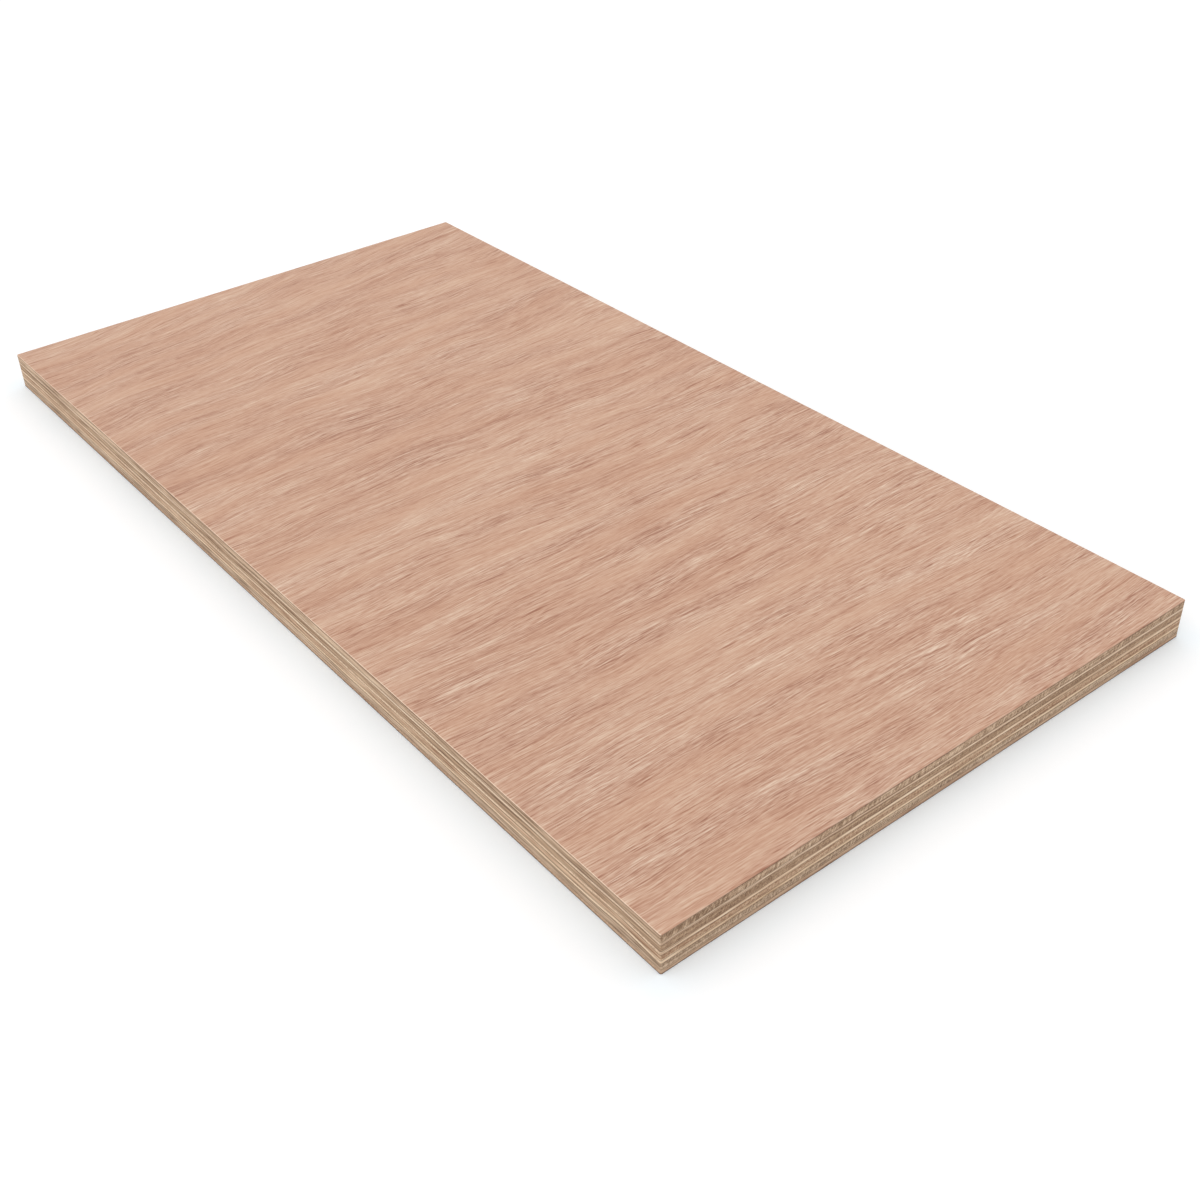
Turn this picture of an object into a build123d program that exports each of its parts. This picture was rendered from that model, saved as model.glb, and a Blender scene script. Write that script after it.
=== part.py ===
from build123d import *
import os

# A cut panel of nine-ply hardwood plywood, lying flat.
# Millimetres. The origin is the middle of the underside, on the floor.
# X runs along the length, Y along the width, Z up through the plies.

# Outline of the panel, as sawn
sheet_length = 514.0
sheet_width = 267.0
corner_radius = 0.6  # the four upright corners, eased by handling
face_arris = 0.3  # sanded edge round the top of the face veneer
back_arris = 0.2  # sanded edge round the underside of the back veneer

# Thickness of each veneer, from the underside up
back_veneer_thickness = 2.0
lower_thick_ply_thickness = 2.9
lower_thin_ply_thickness = 1.3
tan_thick_ply_thickness = 2.6
centre_thin_ply_thickness = 1.4
dark_thick_ply_thickness = 2.8
upper_thin_ply_thickness = 1.3
upper_thick_ply_thickness = 3.1
face_veneer_thickness = 0.6

# Height of each glue line: every veneer starts where the one below it ends
glue_line_1 = back_veneer_thickness
glue_line_2 = glue_line_1 + lower_thick_ply_thickness
glue_line_3 = glue_line_2 + lower_thin_ply_thickness
glue_line_4 = glue_line_3 + tan_thick_ply_thickness
glue_line_5 = glue_line_4 + centre_thin_ply_thickness
glue_line_6 = glue_line_5 + dark_thick_ply_thickness
glue_line_7 = glue_line_6 + upper_thin_ply_thickness
glue_line_8 = glue_line_7 + upper_thick_ply_thickness
sheet_thickness = glue_line_8 + face_veneer_thickness

os.makedirs("parts", exist_ok=True)

# Back veneer: the underside of the panel, its lower edge sanded round
with BuildPart() as back_veneer:
    with BuildSketch(Plane.XY):
        RectangleRounded(sheet_length, sheet_width, corner_radius)
    extrude(amount=back_veneer_thickness)
    underside = back_veneer.faces().sort_by(Axis.Z)[0]
    fillet(underside.edges(), radius=back_arris)

# Lower thick ply: grain along the length
with BuildPart() as lower_thick_ply:
    with BuildSketch(Plane.XY.offset(glue_line_1)):
        RectangleRounded(sheet_length, sheet_width, corner_radius)
    extrude(amount=lower_thick_ply_thickness)

# Lower thin ply: grain across, along the width
with BuildPart() as lower_thin_ply:
    with BuildSketch(Plane.XY.offset(glue_line_2)):
        RectangleRounded(sheet_length, sheet_width, corner_radius)
    extrude(amount=lower_thin_ply_thickness)

# Tan thick ply: grain along the length
with BuildPart() as tan_thick_ply:
    with BuildSketch(Plane.XY.offset(glue_line_3)):
        RectangleRounded(sheet_length, sheet_width, corner_radius)
    extrude(amount=tan_thick_ply_thickness)

# Centre thin ply: grain across
with BuildPart() as centre_thin_ply:
    with BuildSketch(Plane.XY.offset(glue_line_4)):
        RectangleRounded(sheet_length, sheet_width, corner_radius)
    extrude(amount=centre_thin_ply_thickness)

# Dark thick ply: the brown one above the centre, grain along the length
with BuildPart() as dark_thick_ply:
    with BuildSketch(Plane.XY.offset(glue_line_5)):
        RectangleRounded(sheet_length, sheet_width, corner_radius)
    extrude(amount=dark_thick_ply_thickness)

# Upper thin ply: grain across
with BuildPart() as upper_thin_ply:
    with BuildSketch(Plane.XY.offset(glue_line_6)):
        RectangleRounded(sheet_length, sheet_width, corner_radius)
    extrude(amount=upper_thin_ply_thickness)

# Upper thick ply: grain along the length
with BuildPart() as upper_thick_ply:
    with BuildSketch(Plane.XY.offset(glue_line_7)):
        RectangleRounded(sheet_length, sheet_width, corner_radius)
    extrude(amount=upper_thick_ply_thickness)

# Face veneer: the thin top skin, grain across, its upper edge sanded round
with BuildPart() as face_veneer:
    with BuildSketch(Plane.XY.offset(glue_line_8)):
        RectangleRounded(sheet_length, sheet_width, corner_radius)
    extrude(amount=face_veneer_thickness)
    top_side = face_veneer.faces().sort_by(Axis.Z)[-1]
    fillet(top_side.edges(), radius=face_arris)

# Names and files, one solid to each veneer
back_veneer.part.label = "back_veneer"
lower_thick_ply.part.label = "lower_thick_ply"
lower_thin_ply.part.label = "lower_thin_ply"
tan_thick_ply.part.label = "tan_thick_ply"
centre_thin_ply.part.label = "centre_thin_ply"
dark_thick_ply.part.label = "dark_thick_ply"
upper_thin_ply.part.label = "upper_thin_ply"
upper_thick_ply.part.label = "upper_thick_ply"
face_veneer.part.label = "face_veneer"

export_step(back_veneer.part, "parts/back_veneer.step")
export_step(lower_thick_ply.part, "parts/lower_thick_ply.step")
export_step(lower_thin_ply.part, "parts/lower_thin_ply.step")
export_step(tan_thick_ply.part, "parts/tan_thick_ply.step")
export_step(centre_thin_ply.part, "parts/centre_thin_ply.step")
export_step(dark_thick_ply.part, "parts/dark_thick_ply.step")
export_step(upper_thin_ply.part, "parts/upper_thin_ply.step")
export_step(upper_thick_ply.part, "parts/upper_thick_ply.step")
export_step(face_veneer.part, "parts/face_veneer.step")

print("panel", sheet_length, "x", sheet_width, "x", round(sheet_thickness, 3), "mm")
print("glue lines at", [round(z, 2) for z in (
    glue_line_1, glue_line_2, glue_line_3, glue_line_4,
    glue_line_5, glue_line_6, glue_line_7, glue_line_8)])
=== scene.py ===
# %% [markdown]
# # A plywood sheet
# The real object is a cut panel, 514 by 267 by 18 mm, glued up from nine veneers whose
# grain runs crosswise in turn. The solids of the nine veneers come in as a fixed frame,
# in metres, with the floor at height zero. Everything below is placed from that frame,
# so nothing has to be fitted by hand.

# %% Load the frame
import math
import bpy
import numpy as np
from mathutils import Matrix, Vector, noise


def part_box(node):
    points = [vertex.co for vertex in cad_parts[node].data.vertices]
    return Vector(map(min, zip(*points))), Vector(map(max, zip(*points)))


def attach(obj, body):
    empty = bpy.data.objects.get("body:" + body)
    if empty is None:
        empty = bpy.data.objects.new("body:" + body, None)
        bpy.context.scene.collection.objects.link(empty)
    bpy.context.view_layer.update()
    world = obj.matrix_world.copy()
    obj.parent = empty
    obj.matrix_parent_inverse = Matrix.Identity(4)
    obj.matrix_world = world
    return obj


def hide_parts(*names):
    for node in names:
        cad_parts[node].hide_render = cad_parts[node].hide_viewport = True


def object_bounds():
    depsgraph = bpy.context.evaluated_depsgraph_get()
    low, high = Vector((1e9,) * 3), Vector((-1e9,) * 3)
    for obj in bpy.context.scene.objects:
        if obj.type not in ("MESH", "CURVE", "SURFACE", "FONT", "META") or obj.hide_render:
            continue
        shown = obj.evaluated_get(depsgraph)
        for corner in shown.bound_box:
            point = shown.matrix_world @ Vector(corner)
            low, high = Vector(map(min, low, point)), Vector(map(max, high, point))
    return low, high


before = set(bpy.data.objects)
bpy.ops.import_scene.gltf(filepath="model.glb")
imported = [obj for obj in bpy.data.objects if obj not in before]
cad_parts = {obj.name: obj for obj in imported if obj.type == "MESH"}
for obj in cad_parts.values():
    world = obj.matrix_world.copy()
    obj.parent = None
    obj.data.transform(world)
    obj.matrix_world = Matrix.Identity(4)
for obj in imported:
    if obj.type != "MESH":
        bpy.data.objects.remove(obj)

cad_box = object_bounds()
MM = 0.001
print("frame:", sorted(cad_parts))

# %% [markdown]
# ## The camera
# The camera comes first, because every later choice of detail depends on how large a
# millimetre looks. It stands in front of the corner nearest to us, looks down on the
# face veneer, and leans a little to one side. The direction is given as an angle round
# the sheet and an angle above the floor, which is easier to read than a rotation. The
# three distances move the camera to its right, upward and back from the origin.

# %% Camera
AROUND, ABOVE, LEAN = math.radians(52.494), math.radians(35.675), math.radians(-1.761)
TO_RIGHT, UPWARD, BACKWARD = 0.03695, -0.04897, 0.70441
back = Vector((math.sin(AROUND) * math.cos(ABOVE), -math.cos(AROUND) * math.cos(ABOVE), math.sin(ABOVE)))
side = Vector((0, 0, 1)).cross(back).normalized()
up = back.cross(side)
right = side * math.cos(LEAN) + up * math.sin(LEAN)
upward = up * math.cos(LEAN) - side * math.sin(LEAN)

camera = bpy.data.objects.new("camera", bpy.data.cameras.new("camera"))
bpy.context.scene.collection.objects.link(camera)
camera.data.sensor_width = 36.0
camera.data.lens = 46.01
camera.data.clip_start = 0.01
facing = Matrix((right, upward, back)).transposed().to_4x4()
stand = right * TO_RIGHT + upward * UPWARD + back * BACKWARD
camera.matrix_world = Matrix.Translation(stand) @ facing
bpy.context.scene.camera = camera
print("camera stands at", [round(v, 3) for v in stand])

# %% [markdown]
# ## The outline
# All nine veneers share one sawn outline: a long rectangle whose upright corners are
# eased by handling. The outline is a list of points with the outward direction at each,
# about one to the millimetre, so that the walls can carry real roughness. A plain box
# would have no points for that, and a subdivided box would spend them on the inside.

# %% Outline of the sheet
low, high = cad_box
LENGTH, WIDTH = (high.x - low.x) / MM, (high.y - low.y) / MM
CORNER = 0.6


def rim(step=1.0, turns=4):
    """Points round the sheet in millimetres, anticlockwise from above, and outward directions."""
    points, outward = [], []
    half = np.array((LENGTH / 2 - CORNER, WIDTH / 2 - CORNER))
    corners = [half * s for s in ((1, -1), (1, 1), (-1, 1), (-1, -1))]
    for i, centre in enumerate(corners):
        start = -math.pi / 2 + i * math.pi / 2
        for k in range(turns + 1):
            a = start + k * math.pi / 2 / turns
            outward.append((math.cos(a), math.sin(a)))
            points.append(centre + CORNER * np.array(outward[-1]))
        here, there = points[-1], corners[(i + 1) % 4] + CORNER * np.array(outward[-1])
        count = int(np.linalg.norm(there - here) / step)
        for k in range(1, count):
            points.append(here + (there - here) * k / count)
            outward.append(outward[-1])
    return np.array(points), np.array(outward)


RIM, OUTWARD = rim()
print("outline of", len(RIM), "points,", round(LENGTH, 1), "by", round(WIDTH, 1), "mm")

# %% [markdown]
# ## The glue lines
# A veneer is peeled from a log and pressed hot, so no glue line in a sawn edge is quite
# straight: the thin cross veneers ride up and down between the thick ones. Each glue
# line is therefore a height that wanders over the sheet. Two neighbours ask the same
# function, so they meet with no gap and no overlap. A thin veneer keeps its thickness,
# because the lines above and below it wander together. Near the corner closest to the
# camera the plies also rise in one short bend, as if the press had caught a fold there.

# %% Heights of the glue lines
PLIES = ["back_veneer", "lower_thick_ply", "lower_thin_ply", "tan_thick_ply", "centre_thin_ply",
         "dark_thick_ply", "upper_thin_ply", "upper_thick_ply", "face_veneer"]
LINES = [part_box(name)[0].z / MM for name in PLIES] + [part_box("face_veneer")[1].z / MM]
WANDER = {1: (0.10, 11), 2: (0.22, 23), 3: (0.22, 23), 4: (0.24, 37), 5: (0.24, 37),
          6: (0.20, 51), 7: (0.20, 51), 8: (0.03, 67)}  # line: (swing in mm, seed)
BEND = {2: 0.85, 3: 0.9, 4: 0.95, 5: 0.9, 6: 0.45, 7: 0.35}  # line: rise in mm
BEND_FROM_END = 19
BEND_LONG, BEND_WIDE = 12, 9


def line_height(k, x, y):
    """Height of glue line k over the point x, y, all in millimetres."""
    if k not in WANDER:
        return LINES[k]
    swing, seed = WANDER[k]
    long_wave = noise.noise(Vector((x / 46, y / 46, seed)))
    short_wave = noise.noise(Vector((x / 13, y / 13, seed + 5)))
    own = noise.noise(Vector((x / 8, y / 8, k * 7.3)))
    bend = math.exp(-((x - LENGTH / 2 + BEND_FROM_END) / BEND_LONG) ** 2 - ((y + WIDTH / 2) / BEND_WIDE) ** 2)
    return LINES[k] + swing * (1.3 * long_wave + 0.55 * short_wave) + 0.05 * own + BEND.get(k, 0) * bend


HEIGHTS = {k: np.array([line_height(k, x, y) for x, y in RIM]) for k in range(len(LINES))}
print("glue lines at", [round(h, 1) for h in LINES], "mm")
print("thinnest ply anywhere", round(min((HEIGHTS[k + 1] - HEIGHTS[k]).min() for k in range(9)), 2), "mm")

# %% [markdown]
# ## A veneer as a mesh
# Each veneer is one closed skin. Its wall is a stack of rings round the outline. The
# rings at the glue lines sit a tenth of a millimetre in, so that two veneers meet in the
# fine groove that sanding leaves where hard glue ends and soft wood begins. The rings
# between them are roughened as the saw left them. The face and back veneers end in a
# rounded arris instead, made of four narrow strips. Every point also keeps how far up
# the veneer it lies, from 0 to 1. The finish darkens towards the glue, and painted shade
# darkens the foot of the back veneer and the wall under the face's arris.

# %% Build the nine veneers
GROOVE = 0.10
BESIDE_GROOVE = 0.12
ARRIS = {"face_veneer": (0.30, 9), "back_veneer": (0.20, 3)}  # radius in mm, seed
ARRIS_STRIPS = 4
MIDDLE_RINGS = (0.3, 0.5, 0.7)
THICK_ENOUGH = 0.9
CAP_INSET = 4.0


def rough(z, seed):
    """How far the sawn wall stands in at each point of the rim, in millimetres."""
    fine = [noise.noise(Vector((x * 0.9, y * 0.9, h * 2.2 + seed))) for (x, y), h in zip(RIM, z)]
    broad = [noise.noise(Vector((x / 6, y / 6, h / 2 + seed))) for (x, y), h in zip(RIM, z)]
    return 0.020 * np.array(fine) + 0.022 * np.array(broad) - 0.02


def arris(name, lower, upper):
    """The rings that round the outer edge of the face or the back veneer."""
    radius, seed = ARRIS[name]
    radius = radius * (1 + 0.25 * np.array([noise.noise(Vector((x / 5, y / 5, seed))) for x, y in RIM]))
    angles = [math.pi / 2 * step / ARRIS_STRIPS for step in range(ARRIS_STRIPS + 1)]
    if name == "back_veneer":
        return [(lower + radius * (1 - math.cos(a)), -radius * (1 - math.sin(a))) for a in angles]
    return [(upper - radius * (1 - math.sin(a)), -radius * (1 - math.cos(a))) for a in angles]


def veneer(name, k):
    """The skin of the veneer between glue lines k and k + 1."""
    lower, upper = HEIGHTS[k], HEIGHTS[k + 1]
    deep = upper - lower
    n = len(RIM)
    groove = np.full(n, -GROOVE)
    if name == "back_veneer":
        rings = arris(name, lower, upper)
    else:
        rings = [(lower, groove), (lower + BESIDE_GROOVE, rough(lower, k))]
    if deep.mean() > THICK_ENOUGH:
        rings += [(lower + deep * share, rough(lower + deep * share, k)) for share in MIDDLE_RINGS]
    if name == "face_veneer":
        rings += arris(name, lower, upper)
    else:
        rings += [(upper - BESIDE_GROOVE, rough(upper, k)), (upper, groove)]

    cap = RIM * (1 - 2 * CAP_INSET / np.array((LENGTH, WIDTH)))
    walls = [np.column_stack((cap, np.full(n, LINES[k])))]
    walls += [np.column_stack((RIM + OUTWARD * inset[:, None], z)) for z, inset in rings]
    walls += [np.column_stack((cap, np.full(n, LINES[k + 1])))]
    up_the_ply = np.concatenate([np.zeros(n)] + [(z - lower) / deep for z, inset in rings] + [np.ones(n)])
    m = len(walls)
    faces = [(r * n + i, r * n + (i + 1) % n, (r + 1) * n + (i + 1) % n, (r + 1) * n + i)
             for r in range(m - 1) for i in range(n)]
    faces += [tuple(range(n - 1, -1, -1)), tuple(range((m - 1) * n, m * n))]

    mesh = bpy.data.meshes.new(name + "_wood")
    mesh.from_pydata((np.concatenate(walls) * MM).tolist(), [], faces)
    mesh.attributes.new("up_the_ply", "FLOAT", "POINT").data.foreach_set("value", up_the_ply.clip(0, 1))
    mesh.polygons.foreach_set("use_smooth", [True] * len(faces))
    piece = bpy.data.objects.new(name + "_wood", mesh)
    bpy.context.scene.collection.objects.link(piece)
    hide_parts(name)
    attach(piece, "root")
    return piece


WOOD = {name: veneer(name, k) for k, name in enumerate(PLIES)}
print("built", len(WOOD), "veneers,", sum(len(o.data.polygons) for o in WOOD.values()), "faces")

# %% [markdown]
# ## Sums with sockets
# A wood finish is mostly sums of stretched noise, and those are hard to follow as boxes
# and links. This small class wraps one output socket, so that a + b adds a Math node.
# The recipe holds the nodes, and its one method adds any other kind of node.

# %% Wires and recipes


class Wire:
    """One output socket that can be used in a sum."""

    def __init__(self, recipe, socket):
        self.recipe = recipe
        self.socket = socket

    def sum(self, operation, first, second=0.0):
        return self.recipe.node("ShaderNodeMath", {"operation": operation}, {0: first, 1: second}, out=0)

    def __add__(self, other):
        return self.sum("ADD", self, other)

    def __sub__(self, other):
        return self.sum("SUBTRACT", self, other)

    def __rsub__(self, other):
        return self.sum("SUBTRACT", other, self)

    def __mul__(self, other):
        return self.sum("MULTIPLY", self, other)

    def __abs__(self):
        return self.sum("ABSOLUTE", self)

    __radd__ = __add__
    __rmul__ = __mul__

    def between(self, start, end):
        """0 below start, 1 above end, and a soft step between them."""
        return self.recipe.node("ShaderNodeMapRange", {"interpolation_type": "SMOOTHSTEP"},
                                {0: self, 1: start, 2: end}, out=0)

    def least(self, other):
        return self.sum("MINIMUM", self, other)

    def most(self, other):
        return self.sum("MAXIMUM", self, other)


class Recipe:
    """The nodes of one material or world, built up one by one."""

    def __init__(self, owner):
        self.owner = owner
        owner.use_nodes = True
        self.tree = owner.node_tree
        self.tree.nodes.clear()

    def node(self, kind, settings=(), values=(), out=None):
        """Adds a node, sets or links its inputs, and gives the wanted output as a wire."""
        made = self.tree.nodes.new(kind)
        for key, value in dict(settings).items():
            if key == "stops":
                while len(made.color_ramp.elements) < len(value):
                    made.color_ramp.elements.new(0.5)
                for element, (place, colour) in zip(made.color_ramp.elements, value):
                    element.position = place
                    element.color = (*colour, 1.0)
            else:
                setattr(made, key, value)
        for key, value in dict(values).items():
            if isinstance(value, Wire):
                self.tree.links.new(value.socket, made.inputs[key])
            else:
                made.inputs[key].default_value = value
        return made if out is None else Wire(self, made.outputs[out])

    def place(self):
        """Where the surface point lies, in millimetres."""
        here = self.node("ShaderNodeTexCoord", out="Object")
        return self.node("ShaderNodeVectorMath", {"operation": "SCALE"}, {0: here, "Scale": 1 / MM}, out=0)

    def point(self, x, y, z=0.0):
        return self.node("ShaderNodeCombineXYZ", {}, {0: x, 1: y, 2: z}, out=0)

    def axes(self, vector):
        apart = self.node("ShaderNodeSeparateXYZ", {}, {0: vector})
        return [Wire(self, apart.outputs[i]) for i in range(3)]

    def facing(self):
        """The direction that the surface faces, along X, Y and Z."""
        return self.axes(self.node("ShaderNodeNewGeometry", out="Normal"))

    def up_the_ply(self):
        return self.node("ShaderNodeAttribute", {"attribute_name": "up_the_ply"}, out="Fac")

    def noise(self, place, size, seed, detail=0.0, dimensions="3D"):
        """Noise about zero whose patches have the given size along X, Y and Z, in millimetres."""
        start = (seed * 3.7, seed * 1.9, seed * 5.3)
        moved = self.node("ShaderNodeVectorMath", {"operation": "MULTIPLY_ADD"},
                          {0: place, 1: [1 / s for s in size], 2: start}, out=0)
        level = self.node("ShaderNodeTexNoise", {"noise_dimensions": dimensions},
                          {"Vector": moved, "Scale": 1.0, "Detail": detail}, out="Fac")
        return level - 0.5

    def ramp(self, tone, stops):
        return self.node("ShaderNodeValToRGB", {"stops": stops}, {0: tone}, out=0)

    def mix(self, factor, first, second):
        return self.node("ShaderNodeMix", {"data_type": "RGBA"}, {0: factor, 6: first, 7: second}, out=2)

    def shown(self):
        """1 for what the camera or a mirror sees, and 0 for the light that bounces."""
        seen = self.node("ShaderNodeLightPath", out="Is Camera Ray")
        mirrored = self.node("ShaderNodeLightPath", out="Is Glossy Ray")
        return (seen + mirrored).least(1.0)

    def finish(self, colour, roughness, height, depth):
        """Ends a wood material; depth is that of its relief, in metres."""
        bump = self.node("ShaderNodeBump", {}, {"Height": height, "Distance": depth, "Strength": 1.0}, out=0)
        shader = self.node("ShaderNodeBsdfPrincipled", {},
                           {"Base Color": colour, "Roughness": roughness, "Normal": bump,
                            "Specular IOR Level": 0.35}, out=0)
        self.node("ShaderNodeOutputMaterial", {}, {"Surface": shader})
        return self.owner


def tint(r, g, b):
    """A colour as it is read off a screen, turned into the linear light that Blender mixes."""
    return tuple(((c / 255 + 0.055) / 1.055) ** 2.4 for c in (r, g, b))


PLACES = {3: (0.14, 0.5, 0.86), 5: (0.08, 0.3, 0.5, 0.7, 0.94)}


def tones(*colours):
    """Stops of a colour ramp, three or five, from the darkest pore to the palest fibre."""
    return [(place, tint(*colour)) for place, colour in zip(PLACES[len(colours)], colours)]


print("recipes are ready")

# %% [markdown]
# ## The face veneer
# The face is a tropical hardwood, pinkish tan, peeled and sanded. Its grain crosses the
# sheet, along the short side. Several layers make it read as wood: broad redder bands,
# streaks a few millimetres wide, hairs well under a millimetre, and pores, which are fine
# dark and light dashes. The dashes aren't quite parallel to the bands, because the grain
# of this wood is interlocked. So each layer is noise drawn out along Y, read at a place
# that has first been pushed sideways by slower noise. The grain also swings by a few
# degrees along the sheet. The same grain, in browner tones, serves the back veneer. On the
# long sides a pale highlight is painted on the arris of the face, over its pale end grain.
# The wall below it is darkened towards the glue: dark glue, with painted shade under the arris.

# %% Face veneer finish
TAN = tones((166, 114, 90), (189, 141, 115), (205, 162, 136), (216, 180, 154), (232, 202, 177))
PINK = tones((162, 115, 94), (186, 142, 119), (202, 162, 139), (213, 180, 157), (229, 202, 180))
# painted highlight on the face veneer's arris, over its pale end grain
PALE_ARRIS_AND_HIGHLIGHT = (*tint(246, 220, 194), 1)
# dark glue under the face veneer, together with painted shade under its arris
FACE_GLUE_AND_SHADE = (*tint(104, 76, 58), 1)
FACE_RELIEF = 0.10 * MM


def outer_grain(r, p, tan, pink, seed):
    """Colour, relief and roughness of an outer veneer, whose grain runs along Y."""
    x, y = r.axes(p)[:2]

    def grain(size, number, sideways, slope=0.0):
        """Noise drawn out along the grain; slope turns it by a few degrees."""
        turned = sideways + y * slope if slope else sideways
        return r.noise(r.point(turned, y), (*size, 1), seed + number, dimensions="2D")

    def lines(size, number, sideways, slope, width, dash, bare):
        """Thin lines along the grain, broken up into dashes."""
        line = 1 - abs(grain(size, number, sideways, slope)).between(0.0, width)
        return line * grain(dash, number + 0.5, sideways, slope).between(bare, bare + 0.2)

    lean = 0.013 - 0.00039 * x + 0.00000127 * x * x
    bent = (x + y * lean + grain((90, 170), 0, x) * 9 + grain((34, 46), 1, x) * (4.4 - 0.015 * x)
            + grain((8, 22), 20, x) * 0.9)
    fine = bent + grain((2.6, 11), 2, x) * 0.4

    bands = grain((26, 190), 3, bent)
    broad = grain((10, 110), 4, bent)
    streaks = grain((4.6, 76), 5, bent, 0.01)
    strands = grain((2.3, 52), 6, fine, -0.03)
    threads = grain((1.1, 36), 7, fine, 0.02)
    hairs = grain((0.52, 24), 8, fine, -0.04)
    crossing = grain((0.42, 14), 9, fine, 0.06)
    mottle = grain((0.7, 3.2), 10, x, -0.08)
    pores = lines((1.9, 70), 11, fine, 0.02, 0.05, (1.4, 30), 0.0)
    scores = lines((1.2, 50), 13, fine, -0.03, 0.065, (1.0, 18), 0.02)
    pale = lines((1.5, 60), 15, fine, 0.0, 0.06, (1.2, 20), 0.0)
    curl = grain((17, 40), 17, x, 0.1).between(0.08, 0.26) * grain((0.75, 8), 18, fine + fine - bent, 0.16)
    reddish = grain((12, 70), 19, bent)

    calm = 1 - x.between(90.0, 240.0) * 0.2
    clear = (1.02 + x * 0.0005) * (1 + reddish)
    dashes = curl * 0.32 - pores * 0.28 - scores * 0.24 + pale * 0.18
    tone = (0.505 + bands * 0.15 + calm * (broad * 0.18 + streaks * 0.17)
            + calm * (1 + reddish) * (strands * 0.14 + threads * 0.17)
            + clear * (hairs * 0.36 + crossing * 0.44 + mottle * 0.22 + calm * dashes))
    colour = r.mix(reddish * 1.1 + 0.5, r.ramp(tone, tan), r.ramp(tone, pink))
    return colour, threads + hairs * 0.6, 0.62 + threads * 0.2 + pores * 0.1


def face_wood(name, seed):
    r = Recipe(bpy.data.materials.new(name))
    colour, height, roughness = outer_grain(r, r.place(), TAN, PINK, seed)
    facing_side = abs(r.facing()[1])
    on_arris = facing_side.between(0.15, 0.5) - facing_side.between(0.8, 0.97)
    up_the_ply = r.up_the_ply()
    # painted highlight: on the long sides the arris is mixed towards pale cream, like a sanded edge catching
    # the light
    colour = r.mix(on_arris * up_the_ply.between(0.3, 0.6) * 0.9, colour, PALE_ARRIS_AND_HIGHLIGHT)
    # the lower part of the face veneer's wall: dark glue, with painted shade under the arris
    colour = r.mix((1 - up_the_ply.between(0.2, 0.6)) * 0.9, colour, FACE_GLUE_AND_SHADE)
    return r.finish(colour, roughness, height, FACE_RELIEF)


WOOD["face_veneer"].data.materials.append(face_wood("face_wood", 1.0))
print("face veneer is finished")

# %% [markdown]
# ## The plies in the sawn edge
# The saw cuts half of the veneers along their grain and half across it. Along the grain
# a veneer shows long streaks. Across it the cut ends of the fibres show as short upright
# strokes. Both come from one solid noise drawn out along the grain, so the same recipe
# serves every ply, and the two sides of a corner agree. Each ply gets its own tones. A
# ply is darker beside the glue. The back veneer also has painted shade along its foot,
# where it meets the floor, and its underside takes the grain of an outer veneer.

# %% Ply finish
BROWN = tones((146, 108, 82), (174, 138, 109), (193, 159, 130), (207, 177, 148), (223, 197, 168))
GREY = tones((142, 106, 84), (170, 134, 110), (188, 154, 129), (202, 172, 147), (218, 191, 166))
# dark glue between plies; at the foot of the back veneer the same colour is painted shade
PLY_GLUE_AND_SHADE = (*tint(118, 90, 68), 1)
# painted shade: dark colour for the foot of the back veneer, where it meets the floor
PAINTED_FOOT_SHADE = (*tint(92, 66, 50), 1)
EDGE_RELIEF = 0.22 * MM
FIRST_SEED, SEED_STEP = 23.0, 7


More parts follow.
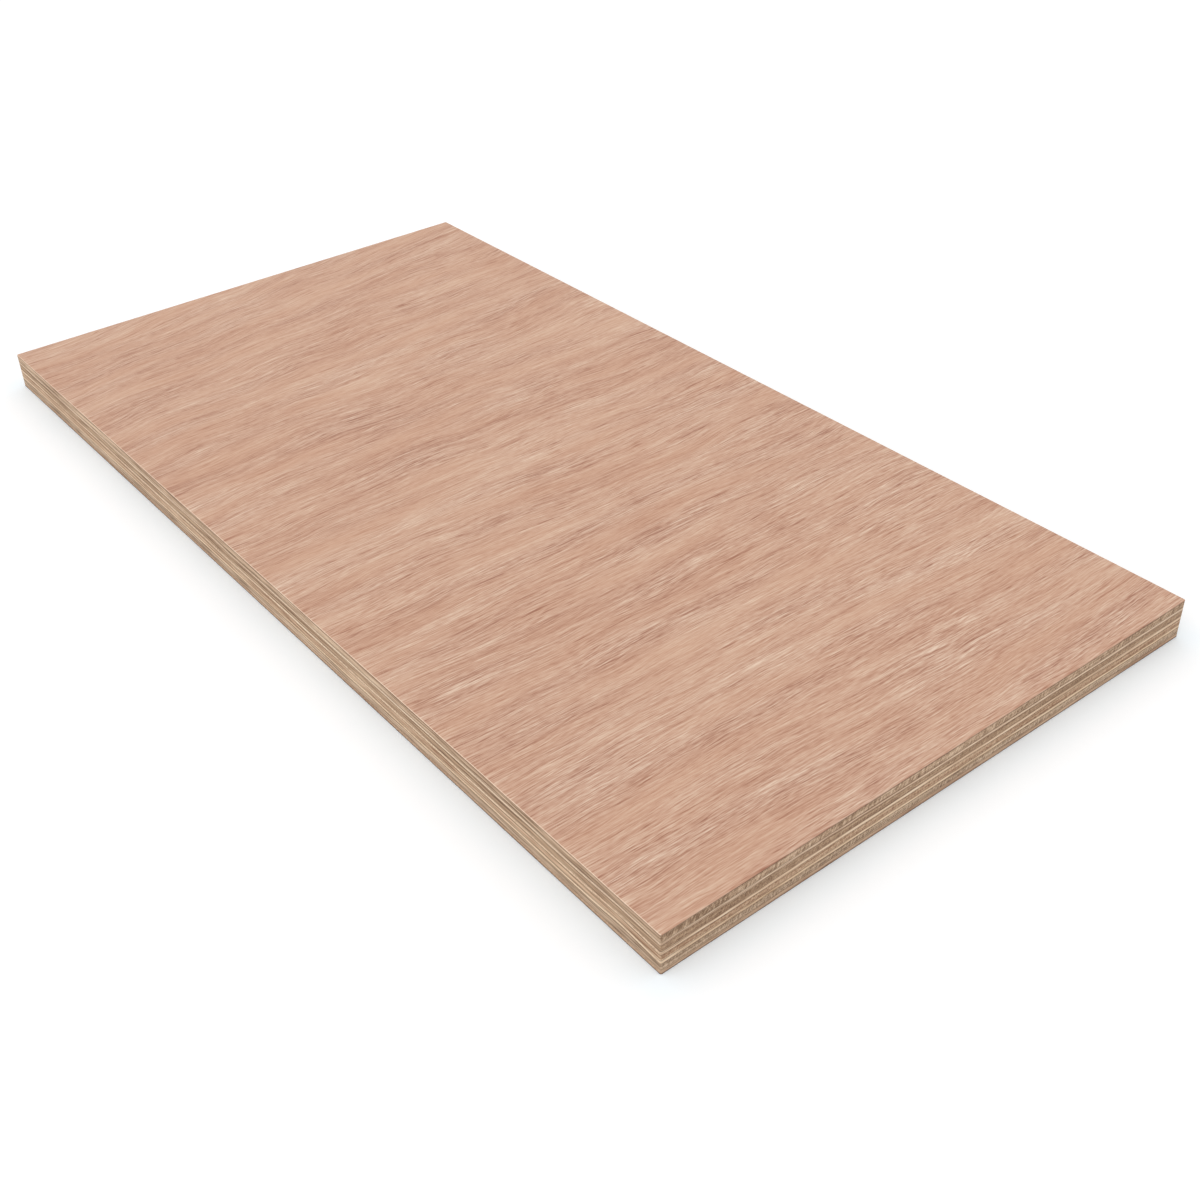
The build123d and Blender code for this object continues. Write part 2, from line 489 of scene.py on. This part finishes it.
def ply_wood(name, stops, seed, strokes, along, end_tone, stained, foot=0.0):
    """Finish of one ply.

    strokes is how strong the upright strokes in the end grain are. along is 0 for grain
    along X and 1 for grain along Y, and the argument after it is added to the tone of
    the end grain. Part of that is the end grain's own tone, and part is painted light and
    shade, which darkens the thick plies on the short ends and lightens the thin plies on the long sides.
    The last two arguments are the share of the ply at each end that darkens, and how
    much more the lower edge darkens. Beside a glue line the first is the dark glue. At the
    foot of the back veneer both are painted shade, where the sheet meets the floor.
    """
    r = Recipe(bpy.data.materials.new(name))
    p = r.place()
    x, y, z = r.axes(p)
    wave = r.noise(p, (60, 60, 30), seed) + r.noise(p, (15, 15, 8), seed + 0.4) * 0.4
    leaning = (y if along == 0 else x) - z * 0.35
    bent = r.point(x, y, z + wave)
    lean = r.point(x if along == 0 else leaning, leaning if along == 0 else y, z + wave * 0.5)

    def size(with_grain, over, thick):
        return (with_grain, over, thick) if along == 0 else (over, with_grain, thick)

    facing = r.facing()
    endwise = abs(facing[along]).between(0.5, 0.9)
    rings = r.noise(bent, size(150, 110, 0.9), seed + 1)
    fibres = r.noise(bent, size(60, 40, 0.42), seed + 2) * (1.3 - endwise * 0.35)
    splits = r.noise(bent, size(18, 14, 0.55), seed + 6) * (1 - endwise) * (1.0 if along == 0 else 0.2)
    pores = r.noise(lean, size(7, 0.5, 0.4), seed + 3)
    checks = r.noise(lean, size(60, 0.8, 2.2), seed + 4, 1.0) * (0.15 + endwise * 0.85)
    patches = r.noise(p, (30, 30, 8), seed + 5)
    # the end-grain tone is partly painted light and shade: short ends darker, long sides lighter
    tone = (0.5 + rings * (0.28 + endwise * 0.12) + fibres * 0.75 + splits * 0.9 + pores * 0.6
            + checks * strokes + patches * 0.2 + endwise * end_tone)
    colour = r.ramp(tone, stops)
    up_the_ply = r.up_the_ply()
    # band at each end of a ply: dark glue, except at the back veneer's foot, where it is painted shade
    near_ply_end = up_the_ply.least(1 - up_the_ply)
    colour = r.mix((1 - near_ply_end.between(0.0, stained)) * (0.6 + rings * 0.8), colour, PLY_GLUE_AND_SHADE)
    height = fibres * 0.7 + pores * 0.7 + checks * strokes * 0.6
    roughness = 0.8 + pores * 0.2
    if foot:
        # painted shade along the foot of the back veneer, where the sheet meets the floor
        colour = r.mix((1 - up_the_ply.between(0.1, 0.5)) * foot, colour, PAINTED_FOOT_SHADE)
        underside = abs(facing[2]).between(0.5, 0.9)
        flat, relief, sheen = outer_grain(r, p, BROWN, GREY, seed + 40)
        colour = r.mix(underside, colour, flat)
        height = height * (1 - underside) + relief * underside * 0.45
        roughness = roughness * (1 - underside) + sheen * underside
    return r.finish(colour, roughness, height, EDGE_RELIEF)


# painted light and shade in the end-grain tones: thick plies darker on the short ends, thin plies lighter on
# the long sides
THICK = {"along": 0, "end_tone": -0.07, "stained": 0.16}
THIN = {"along": 1, "end_tone": 0.02, "stained": 0.28}
THIN_PALE_LIT_END = {**THIN, "end_tone": 0.16}
# the back veneer's darkening at its foot is painted shade
BACK = {"along": 1, "end_tone": 0.02, "stained": 0.16, "foot": 0.8}
EDGE = {  # slot, kind of ply, strokes, and the dark, middle and light tones
    "back_veneer": ("back_wood", BACK, 0.3, (142, 106, 80), (194, 162, 135), (220, 192, 162)),
    "lower_thick_ply": ("grey_tan_wood", THICK, 1.0, (134, 109, 87), (192, 165, 139), (228, 203, 176)),
    "lower_thin_ply": ("light_wood", THIN, 0.2, (176, 142, 110), (232, 202, 170), (250, 228, 200)),
    "tan_thick_ply": ("tan_wood", THICK, 0.7, (144, 106, 78), (197, 164, 135), (231, 202, 171)),
    "centre_thin_ply": ("light_wood", THIN, 0.2, (176, 142, 112), (232, 202, 172), (250, 230, 204)),
    "dark_thick_ply": ("brown_wood", THICK, 0.6, (123, 94, 69), (177, 145, 117), (211, 183, 152)),
    "upper_thin_ply": ("light_wood", THIN_PALE_LIT_END, 0.2, (164, 132, 104), (216, 186, 159), (246, 222, 194)),
    "upper_thick_ply": ("grey_tan_wood", THICK, 1.2, (132, 104, 79), (194, 163, 135), (230, 203, 174)),
}
for k, (name, (slot, kind, strokes, *colours)) in enumerate(EDGE.items()):
    wood = ply_wood(name + "_finish", tones(*colours), FIRST_SEED + SEED_STEP * k, strokes, **kind)
    WOOD[name].data.materials.append(wood)
print("finished", len(EDGE), "plies")

# %% [markdown]
# ## Floor and light
# The sheet lies on a plain white floor under an even sky, with a little more light on the
# long side than on the short end. Floor and sky are paler to the camera than to the light
# that bounces, so that they end white while the wood isn't lit from below. The floor still
# takes the soft shadow along the edges. Close to the sheet it is a trace bluer, against
# the brown light that the sawn edges throw on it, so that the shadow stays grey.

# %% Floor and light
FLOOR_REACH = 6.0
FLOOR_NEAR, FLOOR_FAR = (1.01, 1.08, 1.125, 1), (1.065, 1.075, 1.083, 1)
FLOOR_BOUNCE = (0.8, 0.8, 0.8, 1)
NEAR_WIDTH = 18.0
SKY_BOUNCE, SKY_SEEN = 0.9, 1.0

floor_mesh = bpy.data.meshes.new("floor")
square = ((-1, -1), (1, -1), (1, 1), (-1, 1))
floor_mesh.from_pydata([(FLOOR_REACH * x, FLOOR_REACH * y, 0) for x, y in square], [], [(0, 1, 2, 3)])
floor = bpy.data.objects.new("floor", floor_mesh)
bpy.context.scene.collection.objects.link(floor)
r = Recipe(bpy.data.materials.new("floor"))
x, y = r.axes(r.place())[:2]
away = (abs(x) - LENGTH / 2).most(abs(y) - WIDTH / 2)
white = r.mix(r.shown(), FLOOR_BOUNCE, r.mix(away.between(0.0, NEAR_WIDTH), FLOOR_NEAR, FLOOR_FAR))
shader = r.node("ShaderNodeBsdfDiffuse", {}, {"Color": white}, out=0)
r.node("ShaderNodeOutputMaterial", {}, {"Surface": shader})
floor_mesh.materials.append(r.owner)

r = Recipe(bpy.data.worlds.new("sky"))
strength = SKY_BOUNCE + r.shown() * (SKY_SEEN - SKY_BOUNCE)
shader = r.node("ShaderNodeBackground", {}, {"Color": (1, 1, 1, 1), "Strength": strength}, out=0)
r.node("ShaderNodeOutputWorld", {}, {"Surface": shader})
bpy.context.scene.world = r.owner

lamp = bpy.data.lights.new("window", "SUN")
lamp.energy = 0.45
lamp.angle = math.radians(70)
window = bpy.data.objects.new("window", lamp)
bpy.context.scene.collection.objects.link(window)
window.rotation_euler = Vector((0.03, 0.62, -0.78)).to_track_quat("-Z", "Y").to_euler()

bpy.context.scene.view_settings.view_transform = "Standard"
print("floor and light are set")
